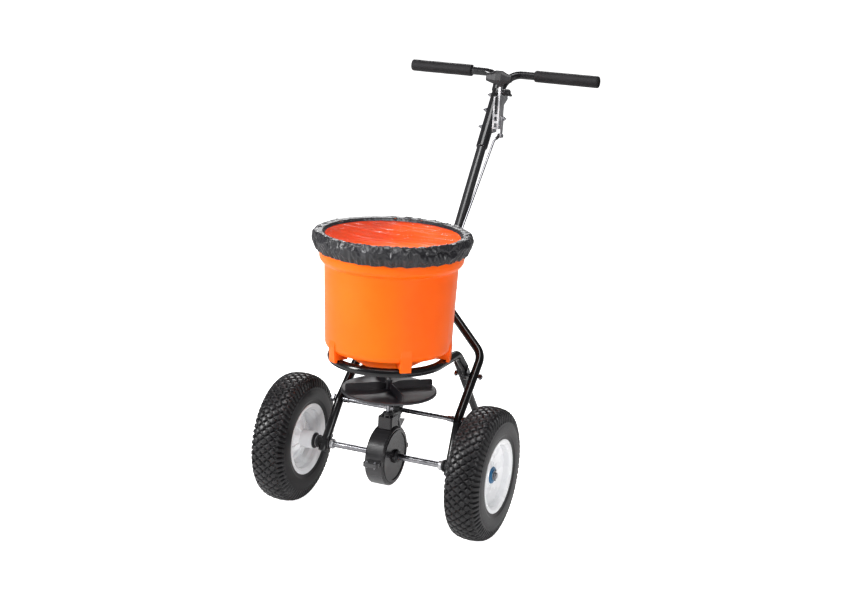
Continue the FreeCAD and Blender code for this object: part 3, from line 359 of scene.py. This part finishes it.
SLOT = {
    "powder_black": ["frame_leg_left", "frame_leg_right", "hopper_ring", "handle_column", "handle_stem", "handlebar_left",
                     "handlebar_right", "stand_leg_left", "stand_leg_right"],
    "moulded_black": ["stand_foot_left", "stand_foot_right", "tube_plugs", "leg_bushes", "gearbox_bushes", "shaft_bush",
                      "hub_bushes_left", "hopper_bush", "gate_guide", "rod_end", "lock_knob", "lever_grip", "grip_left", "grip_right"],
    "gearbox_black": ["gearbox_upper", "gearbox_lower"],
    "impeller_black": ["impeller"],
    "moulded_blue": ["hub_bushes_right"],
    "moulded_orange": ["hopper"],
    "cover_nylon": ["rain_cover_band"],
    "clear_film": ["rain_cover_window"],
    "zinc": ["axle", "cross_rod", "cross_rod_nuts", "frame_bolts", "stem_bolts", "gearbox_screws", "gate_screws", "lever_pivot",
             "lock_bolt", "rod_pin", "control_rod", "shaft", "shaft_pins", "agitator", "axle_pins", "cotter_pins"],
    "zinc_dull": ["axle_collars", "axle_washers", "gauge_bracket", "lever", "lever_arm", "gate"],
    "white_enamel": ["rim_left", "rim_right"],
    "natural_nylon": ["ring_gear", "pinion"],
    "tyre_rubber": ["tyre_left", "tyre_right"],
    "valve_rubber": ["valve_stems_left", "valve_stems_right"],
}
for mat, names in SLOT.items():
    for nm in names:
        if nm not in NODES:
            continue
        o = NODES[nm]
        if not o.material_slots:
            o.data.materials.append(MAT[mat])
        for s in o.material_slots:
            s.material = MAT[mat]


def add_mesh(name, verts, faces, mat, body, smooth=True, uvs=None):
    me = bpy.data.meshes.new(name)
    me.from_pydata(verts, [], faces)
    me.materials.append(MAT[mat])
    if uvs is not None:
        lay = me.uv_layers.new(name="UVMap")
        for lp_ in me.loops:
            lay.data[lp_.index].uv = uvs[lp_.vertex_index]
    me.update()
    if smooth:
        me.shade_smooth()
    o = bpy.data.objects.new(name, me)
    scene.collection.objects.link(o)
    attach(o, body)
    return o


def sstep(a, b, x):
    t = min(1.0, max(0.0, (x - a) / (b - a)))
    return t * t * (3 - 2 * t)


# ------------------------------------------------------------------ tyres
def catmull(pts, step):
    """Points along a smooth line through pts, about step apart, with their running length."""
    out = []
    n = len(pts)
    for i in range(n - 1):
        p0, p1, p2, p3 = pts[max(i - 1, 0)], pts[i], pts[i + 1], pts[min(i + 2, n - 1)]
        seg = (Vector(p2) - Vector(p1)).length
        k = max(1, int(round(seg / step)))
        for j in range(k):
            t = j / k
            q = []
            for a, b_, c, d in zip(p0, p1, p2, p3):
                q.append(0.5 * (2 * b_ + (c - a) * t + (2 * a - 5 * b_ + 4 * c - d) * t * t + (3 * b_ - a - 3 * c + d) * t ** 3))
            out.append(tuple(q))
    out.append(tuple(pts[-1]))
    return out


def make_tyre(side, body):
    node = "tyre_" + side
    c = centre(node)
    c.z = AXLE.z
    c.y = Y0
    half = [(0.0, 165.0), (12.0, 164.3), (24.0, 162.2), (32.0, 159.3), (37.0, 154.5), (40.6, 147.0), (43.4, 136.0), (44.8, 122.0), (44.6, 108.0), (42.4, 97.0), (40.2, 91.0), (38.6, 86.0)]
    line = catmull([half[0], half[1], half[2], half[3]], 1.45)[:-1] + catmull(half[3:], 2.2)
    line = [(-x, r) for x, r in reversed(line[1:])] + line
    inner = [(34.2, 80.4), (23.4, 79.4), (26.0, 92.0), (32.0, 112.0), (31.0, 135.0), (20.0, 150.0), (0.0, 153.0), (-20.0, 150.0), (-31.0, 135.0), (-32.0, 112.0), (-26.0, 92.0), (-23.4, 79.4), (-34.2, 80.4)]
    s = [0.0]
    for (x0, r0), (x1, r1) in zip(line, line[1:]):
        s.append(s[-1] + math.hypot(x1 - x0, r1 - r0))
    mid = s[-1] / 2
    s = [v - mid for v in s]
    N = 46 * 18
    RC = 162.0
    pitch = 2 * math.pi * RC / 46
    LUG = 69
    cols = 12.6
    verts, faces = [], []
    nrm = []
    for i in range(len(line)):
        a, b_ = line[max(i - 1, 0)], line[min(i + 1, len(line) - 1)]
        t = Vector((b_[0] - a[0], b_[1] - a[1])).normalized()
        nrm.append((-t.y, t.x) if True else None)
    rows = len(line) + len(inner)
    for k in range(N):
        th = 2 * math.pi * k / N
        cu, su = math.cos(th), math.sin(th)
        along = th * RC
        for i, (x, r) in enumerate(line):
            sv = s[i]
            av = abs(sv)
            d = 0.0
            if av < 33.0:
                # lozenge blocks on a staggered grid
                best = 9.0
                j0 = round(sv / cols)
                for j in (j0 - 1, j0, j0 + 1):
                    off = 0.5 * pitch if j % 2 else 0.0
                    ds = (sv - j * cols) / cols
                    da = (along - off) / pitch
                    da -= round(da)
                    da *= 2.0
                    m_ = (abs(ds) ** 1.32 + abs(da) ** 1.32) ** (1 / 1.32)
                    best = min(best, m_)
                blk = 1.0 - sstep(0.60, 0.80, best)
                # groove depth between the blocks, the blocks slightly domed towards their centres
                g = 5.4 * (1.0 - blk) + 0.5 * best
                g *= 1.0 - sstep(30.5, 33.0, av) * 0.3
                d = g
            else:
                lug = (th * LUG / (2 * math.pi) + (0.25 if sv > 0 else 0.75) + 0.010 * (av - 33.0)) % 1.0
                gap = sstep(0.54, 0.66, lug) * (1.0 - sstep(0.88, 1.0, lug))
                fade = sstep(31.0, 35.0, av) * (1.0 - sstep(54.0, 64.0, av))
                edge = 1.0 - sstep(33.0, 36.5, av)
                d = 4.4 * max(gap * fade, 0.9 * edge)
            # fine rings on the side wall
            for rc_, hh, ww in ((62.0, -0.7, 1.2), (66.0, 0.5, 1.0), (92.0, -0.6, 1.3), (97.5, 0.6, 1.2)):
                q = (av - rc_) / ww
                d += hh * math.exp(-q * q)
            nx, nr = nrm[i]
            if nr * 1.0 + nx * (x / 60.0) < 0:
                nx, nr = -nx, -nr
            xx, rr = x - nx * d, r - nr * d
            verts.append((c.x + xx / 1000, c.y + rr / 1000 * su, c.z + rr / 1000 * cu))
        for x, r in inner:
            verts.append((c.x + x / 1000, c.y + r / 1000 * su, c.z + r / 1000 * cu))
    for k in range(N):
        k2 = (k + 1) % N
        for i in range(rows):
            i2 = (i + 1) % rows
            faces.append((k * rows + i, k2 * rows + i, k2 * rows + i2, k * rows + i2))
    o = add_mesh("tyre_tread_" + side, verts, faces, "tyre_rubber", body)
    bm = bmesh.new()
    bm.from_mesh(o.data)
    bmesh.ops.recalc_face_normals(bm, faces=bm.faces)
    bm.to_mesh(o.data)
    bm.free()
    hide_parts(node)
    return o


make_tyre("left", "left_wheel")
make_tyre("right", "drive_axle")


# ------------------------------------------------------------------ foam grips
def make_grip(side):
    node = "grip_" + side
    lo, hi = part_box(node)
    cy, cz = (lo[1] + hi[1]) / 2, (lo[2] + hi[2]) / 2
    R = (hi[2] - lo[2]) / 2 * 1000
    L = (hi[0] - lo[0]) * 1000
    out = 1 if side == "right" else -1
    base = lo[0] if side == "right" else hi[0]
    prof = [(0.4, 11.4), (0.0, 12.6), (0.0, R - 3.0), (0.5, R - 1.0), (1.8, R - 0.2), (4.0, R)]
    k = 44
    prof += [(4.0 + (L - 9.0) * i / k, R) for i in range(1, k)]
    prof += [(L - 5.0, R), (L - 2.2, R - 0.3), (L - 0.7, R - 1.4), (L, R - 3.4), (L, 12.8), (L - 0.4, 11.6), (L - 2.5, 11.3), (L - 3.0, 10.6), (L - 3.0, 0.01)]
    N = 72
    verts, faces, uv = [], [], []
    for kk in range(N):
        th = 2 * math.pi * kk / N
        for i, (x, r) in enumerate(prof):
            w = 0.0
            if r > R - 1.5:
                p = Vector((x * 0.02 + (9 if out > 0 else 0), math.cos(th) * 0.8, math.sin(th) * 0.8))
                w = 0.35 * (noise.noise(p * 1.7) - 0.4)
            rr = max(0.0, r + min(0.0, w))
            verts.append((base + out * x / 1000, cy + rr / 1000 * math.cos(th), cz + rr / 1000 * math.sin(th)))
            uv.append((kk / N, x / 100))
    rows = len(prof)
    for kk in range(N):
        k2 = (kk + 1) % N
        for i in range(rows - 1):
            f = (kk * rows + i, k2 * rows + i, k2 * rows + i + 1, kk * rows + i + 1)
            faces.append(f if out < 0 else f[::-1])
    o = add_mesh("foam_" + node, verts, faces, "grip_foam", "frame", uvs=uv)
    bm = bmesh.new()
    bm.from_mesh(o.data)
    bmesh.ops.remove_doubles(bm, verts=bm.verts, dist=0.00003)
    bmesh.ops.recalc_face_normals(bm, faces=bm.faces)
    bm.to_mesh(o.data)
    bm.free()
    o.data.shade_smooth()
    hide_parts(node)
    return o


make_grip("left")
make_grip("right")


# ------------------------------------------------------------------ moulded hand pieces
def moulded(node, name, body, voxel, smooth_n, mat):
    src = NODES[node]
    me = src.data.copy()
    o = bpy.data.objects.new(name, me)
    scene.collection.objects.link(o)
    md = o.modifiers.new("remesh", "REMESH")
    md.mode = "VOXEL"
    md.voxel_size = voxel
    sm = o.modifiers.new("smooth", "SMOOTH")
    sm.factor = 0.5
    sm.iterations = smooth_n
    dg = bpy.context.evaluated_depsgraph_get()
    ev = bpy.data.meshes.new_from_object(o.evaluated_get(dg))
    o.modifiers.clear()
    o.data = ev
    ev.name = name
    ev.materials.clear()
    ev.materials.append(MAT[mat])
    ev.shade_smooth()
    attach(o, body)
    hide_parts(node)
    return o


moulded("lever_grip", "lever_tee", "lever", 0.0009, 9, "moulded_black")
moulded("lock_knob", "lock_wing_knob", "knob", 0.0006, 4, "moulded_black")


# ------------------------------------------------------------------ rain cover
def cover():
    cx, cy = HOP.x, HOP.y
    N = 480
    # rest line of the cloth: window seam, over the rim, down the side to the elastic hem (radius and drop from the top, mm)
    line = [(163.0, 9.8), (166.2, 6.6), (169.8, 3.2), (174.0, 0.9), (178.6, 0.0), (182.6, 1.8), (185.6, 5.4), (187.2, 9.8), (188.2, 14.6), (188.9, 19.6),
            (189.2, 24.4), (189.0, 28.8), (188.2, 32.8), (186.9, 36.4), (185.2, 39.6), (183.4, 42.6), (181.8, 45.2), (180.8, 47.8)]
    prof = catmull([(r / 1000, TOP_Z - z / 1000) for r, z in line], 0.0020)
    M = len(prof)
    verts, faces, uv = [], [], []
    for k in range(N):
        th = 2 * math.pi * k / N
        c, s = math.cos(th), math.sin(th)
        ring = Vector((c, s, 0.0))
        gw = th * 58 + 2.6 * noise.noise(ring * 5.0) + 1.3 * noise.noise(ring * 15.0)
        for i, (r, z) in enumerate(prof):
            t = i / (M - 1)
            side = sstep(0.30, 0.52, t)
            low = sstep(0.58, 0.88, t)
            swag = noise.noise(ring * 3.1 + Vector((0, 0, t * 1.3))) * 0.0022 * side
            fold = (1 - abs(noise.noise(Vector((c * 6.5, s * 6.5, t * 2.6 + 0.5 * noise.noise(ring * 4))))) * 2.6) * 0.0022 * side * (1 - 0.5 * low)
            gat = (0.62 * math.sin(gw) + 0.38 * math.sin(gw * 1.73 + 1.1)) * 0.0023 * low
            crk = noise.noise(Vector((c * 22, s * 22, t * 7))) * 0.0010 * (0.4 + 0.6 * side)
            topw = noise.noise(Vector((c * 9, s * 9, t * 5))) * 0.0012 * (1 - side) * sstep(0.0, 0.1, t)
            rr = r + swag + fold + gat + crk - 0.0012 * side
            if t > 0.42:
                rr = max(rr, 0.1778)
            if t < 0.03:
                rr = r + noise.noise(ring * 4.0) * 0.0012
            dz = topw + noise.noise(ring * 5.2) * 0.0020 * low * low + 0.0009 * math.sin(gw * 0.5) * sstep(0.93, 1.0, t)
            verts.append((cx + rr * c, cy + rr * s, min(z + dz, TOP_Z + 0.0015)))
            uv.append((th * 0.185, t * 0.09))
    for k in range(N):
        k2 = (k + 1) % N
        for i in range(M - 1):
            faces.append((k * M + i, k2 * M + i, k2 * M + i + 1, k * M + i + 1))
    o = add_mesh("cover_cloth", verts, faces, "cover_nylon", "rain_cover", uvs=uv)
    drape(o, N, M, cx, cy)
    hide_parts("rain_cover_band")
    return o


def drape(o, N, M, cx, cy):
    """Lets the cloth grow a little between its two seams, so that it buckles into its own creases."""
    start = [v.co.copy() for v in o.data.vertices]
    pins = o.vertex_groups.new(name="pins")
    for k in range(N):
        for i, w in ((0, 1.0), (1, 0.9), (M - 2, 0.75), (M - 1, 1.0)):
            pins.add([k * M + i], w, "REPLACE")
    cl = o.modifiers.new("cloth", "CLOTH")
    st = cl.settings
    st.quality = 6
    st.mass = 0.08
    st.tension_stiffness = 12
    st.compression_stiffness = 12
    st.shear_stiffness = 4
    st.bending_stiffness = 0.04
    st.shrink_min = -0.09
    st.vertex_group_mass = "pins"
    st.effector_weights.gravity = 0.1
    cl.collision_settings.use_self_collision = False
    cl.collision_settings.use_collision = False
    cl.point_cache.frame_start = 1
    cl.point_cache.frame_end = 22
    for f in range(1, 23):
        scene.frame_set(f)
    dg = bpy.context.evaluated_depsgraph_get()
    ev = o.evaluated_get(dg)
    got = [v.co.copy() for v in ev.data.vertices]
    o.modifiers.remove(cl)
    scene.frame_set(1)
    o.vertex_groups.clear()
    for v, a, b in zip(o.data.vertices, start, got):
        d = b - a
        if d.length > 0.007:
            d *= 0.007 / d.length
        p = a + d
        q = Vector((p.x - cx, p.y - cy))
        ra = math.hypot(a.x - cx, a.y - cy)
        if a.z > TOP_Z - 0.0050:
            # the part lying on the hopper's rim can lift off it but not sink through it
            p.z = max(p.z, TOP_Z - 0.0030)
        elif ra < 0.1716:
            p.z = max(p.z, a.z - 0.0020)
        if p.z < TOP_Z - 0.0035 and a.z < TOP_Z - 0.006 and Vector((a.x - cx, a.y - cy)).length > 0.1775 and q.length < 0.1776:
            q *= 0.1776 / q.length
        if q.length > 0.1955:
            q *= 0.1955 / q.length
        v.co = Vector((cx + q.x, cy + q.y, min(max(p.z, TOP_Z - 0.056), TOP_Z + 0.003)))
    o.data.update()


cloth = cover()


def window():
    cx, cy = HOP.x, HOP.y
    N, K, R = 180, 44, 0.1655
    verts, faces = [(cx, cy, TOP_Z - 0.0142)], []
    uv = [(0, 0)]
    for k in range(N):
        th = 2 * math.pi * k / N
        c, s = math.cos(th), math.sin(th)
        for j in range(1, K + 1):
            r = R * j / K
            t = r / R
            z = TOP_Z - 0.0102 - 0.0040 * (1 - t * t)
            z += 0.0010 * noise.noise(Vector((c * r * 26, s * r * 40, 2.0))) * (1 - t ** 6)
            # pulls running in from the seam
            z += 0.0005 * math.sin(th * 23 + 2 * noise.noise(Vector((c * 3, s * 3, 0)))) * sstep(0.65, 1.0, t) * (1 - sstep(0.95, 1.0, t))
            verts.append((cx + r * c, cy + r * s, z))
            uv.append((r * c, r * s))
    for k in range(N):
        k2 = (k + 1) % N
        faces.append((0, 1 + k * K, 1 + k2 * K))
        for j in range(K - 1):
            faces.append((1 + k * K + j, 1 + k * K + j + 1, 1 + k2 * K + j + 1, 1 + k2 * K + j))
    o = add_mesh("cover_window", verts, faces, "clear_film", "rain_cover", uvs=uv)
    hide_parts("rain_cover_window")
    return o


film = window()

# ------------------------------------------------------------------ floor
bm = bmesh.new()
bmesh.ops.create_grid(bm, x_segments=8, y_segments=8, size=60.0)
me = bpy.data.meshes.new("floor")
bm.to_mesh(me)
bm.free()
me.materials.append(MAT["floor"])
floor = bpy.data.objects.new("floor", me)
floor.location = (0, 0, -0.0005)
scene.collection.objects.link(floor)
